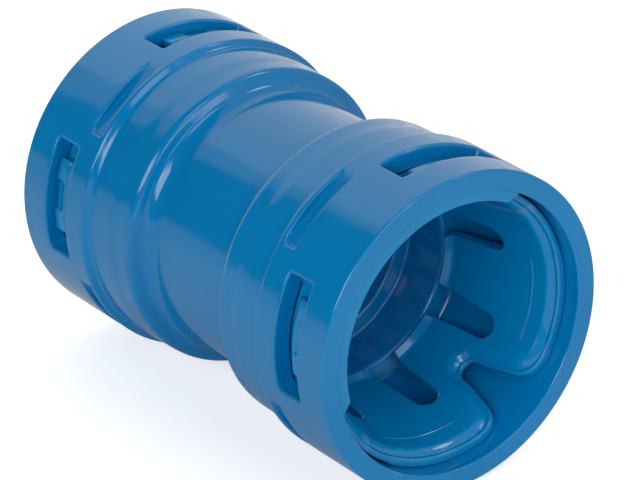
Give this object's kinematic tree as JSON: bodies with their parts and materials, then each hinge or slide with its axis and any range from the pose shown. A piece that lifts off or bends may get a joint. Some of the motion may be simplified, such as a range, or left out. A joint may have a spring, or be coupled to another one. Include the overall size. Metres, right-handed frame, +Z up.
{
  "type": "push-in conduit sleeve coupling",
  "caption": "Plastic sleeve coupling that joins two corrugated conduits end to end: a stepped one-piece housing with a snap-in lock ring and sprung gripping fingers in each mouth.",
  "frame": {"origin": "middle of the housing on its common axis", "axes": "+X along the common axis towards socket a, +Z up as the coupling lies on its side, +Y across"},
  "size_m": [0.0508, 0.033, 0.033],
  "materials": {
    "housing_plastic": "gloss",
    "ring_plastic": "gloss"
  },
  "bodies": {
    "housing": {"housing": "housing_plastic"},
    "lock_ring_a": {"lock_ring_a": "ring_plastic"},
    "lock_ring_b": {"lock_ring_b": "ring_plastic"},
    "finger_a1": {"finger_a1": "ring_plastic"},
    "finger_a2": {"finger_a2": "ring_plastic"},
    "finger_a3": {"finger_a3": "ring_plastic"},
    "finger_a4": {"finger_a4": "ring_plastic"},
    "finger_a5": {"finger_a5": "ring_plastic"},
    "finger_a6": {"finger_a6": "ring_plastic"},
    "finger_a7": {"finger_a7": "ring_plastic"},
    "finger_a8": {"finger_a8": "ring_plastic"},
    "finger_b1": {"finger_b1": "ring_plastic"},
    "finger_b2": {"finger_b2": "ring_plastic"},
    "finger_b3": {"finger_b3": "ring_plastic"},
    "finger_b4": {"finger_b4": "ring_plastic"},
    "finger_b5": {"finger_b5": "ring_plastic"},
    "finger_b6": {"finger_b6": "ring_plastic"},
    "finger_b7": {"finger_b7": "ring_plastic"},
    "finger_b8": {"finger_b8": "ring_plastic"}
  },
  "joints": [
    {"name": "ring_a_float", "type": "slide", "parent": "housing", "child": "lock_ring_a", "axis": [1, 0, 0], "range_m": [-0.0002, 0.0002]},
    {"name": "ring_b_float", "type": "slide", "parent": "housing", "child": "lock_ring_b", "axis": [1, 0, 0], "range_m": [-0.0002, 0.0002]},
    {"name": "finger_a1_flex", "type": "hinge", "parent": "lock_ring_a", "child": "finger_a1", "pos_m": [0.01675, -0.01245, 0.00158], "axis": [0, 0.1262, 0.992], "range_deg": [0, 5.5], "stiffness_Nm_per_rad": 0.02},
    {"name": "finger_a2_flex", "type": "hinge", "parent": "lock_ring_a", "child": "finger_a2", "pos_m": [0.01675, -0.00992, -0.00768], "axis": [0, -0.6122, 0.7907], "range_deg": [0, 5.5], "stiffness_Nm_per_rad": 0.02},
    {"name": "finger_a3_flex", "type": "hinge", "parent": "lock_ring_a", "child": "finger_a3", "pos_m": [0.01675, -0.00158, -0.01245], "axis": [0, -0.992, 0.1262], "range_deg": [0, 5.5], "stiffness_Nm_per_rad": 0.02},
    {"name": "finger_a4_flex", "type": "hinge", "parent": "lock_ring_a", "child": "finger_a4", "pos_m": [0.01675, 0.00768, -0.00992], "axis": [0, -0.7907, -0.6122], "range_deg": [0, 5.5], "stiffness_Nm_per_rad": 0.02},
    {"name": "finger_a5_flex", "type": "hinge", "parent": "lock_ring_a", "child": "finger_a5", "pos_m": [0.01675, 0.01245, -0.00158], "axis": [0, -0.1262, -0.992], "range_deg": [0, 5.5], "stiffness_Nm_per_rad": 0.02},
    {"name": "finger_a6_flex", "type": "hinge", "parent": "lock_ring_a", "child": "finger_a6", "pos_m": [0.01675, 0.00992, 0.00768], "axis": [0, 0.6122, -0.7907], "range_deg": [0, 5.5], "stiffness_Nm_per_rad": 0.02},
    {"name": "finger_a7_flex", "type": "hinge", "parent": "lock_ring_a", "child": "finger_a7", "pos_m": [0.01675, 0.00158, 0.01245], "axis": [0, 0.992, -0.1262], "range_deg": [0, 5.5], "stiffness_Nm_per_rad": 0.02},
    {"name": "finger_a8_flex", "type": "hinge", "parent": "lock_ring_a", "child": "finger_a8", "pos_m": [0.01675, -0.00768, 0.00992], "axis": [0, 0.7907, 0.6122], "range_deg": [0, 5.5], "stiffness_Nm_per_rad": 0.02},
    {"name": "finger_b1_flex", "type": "hinge", "parent": "lock_ring_b", "child": "finger_b1", "pos_m": [-0.01675, -0.01245, 0.00158], "axis": [0, -0.1262, -0.992], "range_deg": [0, 5.5], "stiffness_Nm_per_rad": 0.02},
    {"name": "finger_b2_flex", "type": "hinge", "parent": "lock_ring_b", "child": "finger_b2", "pos_m": [-0.01675, -0.00992, -0.00768], "axis": [0, 0.6122, -0.7907], "range_deg": [0, 5.5], "stiffness_Nm_per_rad": 0.02},
    {"name": "finger_b3_flex", "type": "hinge", "parent": "lock_ring_b", "child": "finger_b3", "pos_m": [-0.01675, -0.00158, -0.01245], "axis": [0, 0.992, -0.1262], "range_deg": [0, 5.5], "stiffness_Nm_per_rad": 0.02},
    {"name": "finger_b4_flex", "type": "hinge", "parent": "lock_ring_b", "child": "finger_b4", "pos_m": [-0.01675, 0.00768, -0.00992], "axis": [0, 0.7907, 0.6122], "range_deg": [0, 5.5], "stiffness_Nm_per_rad": 0.02},
    {"name": "finger_b5_flex", "type": "hinge", "parent": "lock_ring_b", "child": "finger_b5", "pos_m": [-0.01675, 0.01245, -0.00158], "axis": [0, 0.1262, 0.992], "range_deg": [0, 5.5], "stiffness_Nm_per_rad": 0.02},
    {"name": "finger_b6_flex", "type": "hinge", "parent": "lock_ring_b", "child": "finger_b6", "pos_m": [-0.01675, 0.00992, 0.00768], "axis": [0, -0.6122, 0.7907], "range_deg": [0, 5.5], "stiffness_Nm_per_rad": 0.02},
    {"name": "finger_b7_flex", "type": "hinge", "parent": "lock_ring_b", "child": "finger_b7", "pos_m": [-0.01675, 0.00158, 0.01245], "axis": [0, -0.992, 0.1262], "range_deg": [0, 5.5], "stiffness_Nm_per_rad": 0.02},
    {"name": "finger_b8_flex", "type": "hinge", "parent": "lock_ring_b", "child": "finger_b8", "pos_m": [-0.01675, -0.00768, 0.00992], "axis": [0, -0.7907, -0.6122], "range_deg": [0, 5.5], "stiffness_Nm_per_rad": 0.02}
  ],
  "couplings": [
    {"joint": "finger_a2_flex", "follows": "finger_a1_flex", "ratio": 1},
    {"joint": "finger_a3_flex", "follows": "finger_a1_flex", "ratio": 1},
    {"joint": "finger_a4_flex", "follows": "finger_a1_flex", "ratio": 1},
    {"joint": "finger_a5_flex", "follows": "finger_a1_flex", "ratio": 1},
    {"joint": "finger_a6_flex", "follows": "finger_a1_flex", "ratio": 1},
    {"joint": "finger_a7_flex", "follows": "finger_a1_flex", "ratio": 1},
    {"joint": "finger_a8_flex", "follows": "finger_a1_flex", "ratio": 1},
    {"joint": "finger_b2_flex", "follows": "finger_b1_flex", "ratio": 1},
    {"joint": "finger_b3_flex", "follows": "finger_b1_flex", "ratio": 1},
    {"joint": "finger_b4_flex", "follows": "finger_b1_flex", "ratio": 1},
    {"joint": "finger_b5_flex", "follows": "finger_b1_flex", "ratio": 1},
    {"joint": "finger_b6_flex", "follows": "finger_b1_flex", "ratio": 1},
    {"joint": "finger_b7_flex", "follows": "finger_b1_flex", "ratio": 1},
    {"joint": "finger_b8_flex", "follows": "finger_b1_flex", "ratio": 1}
  ]
}
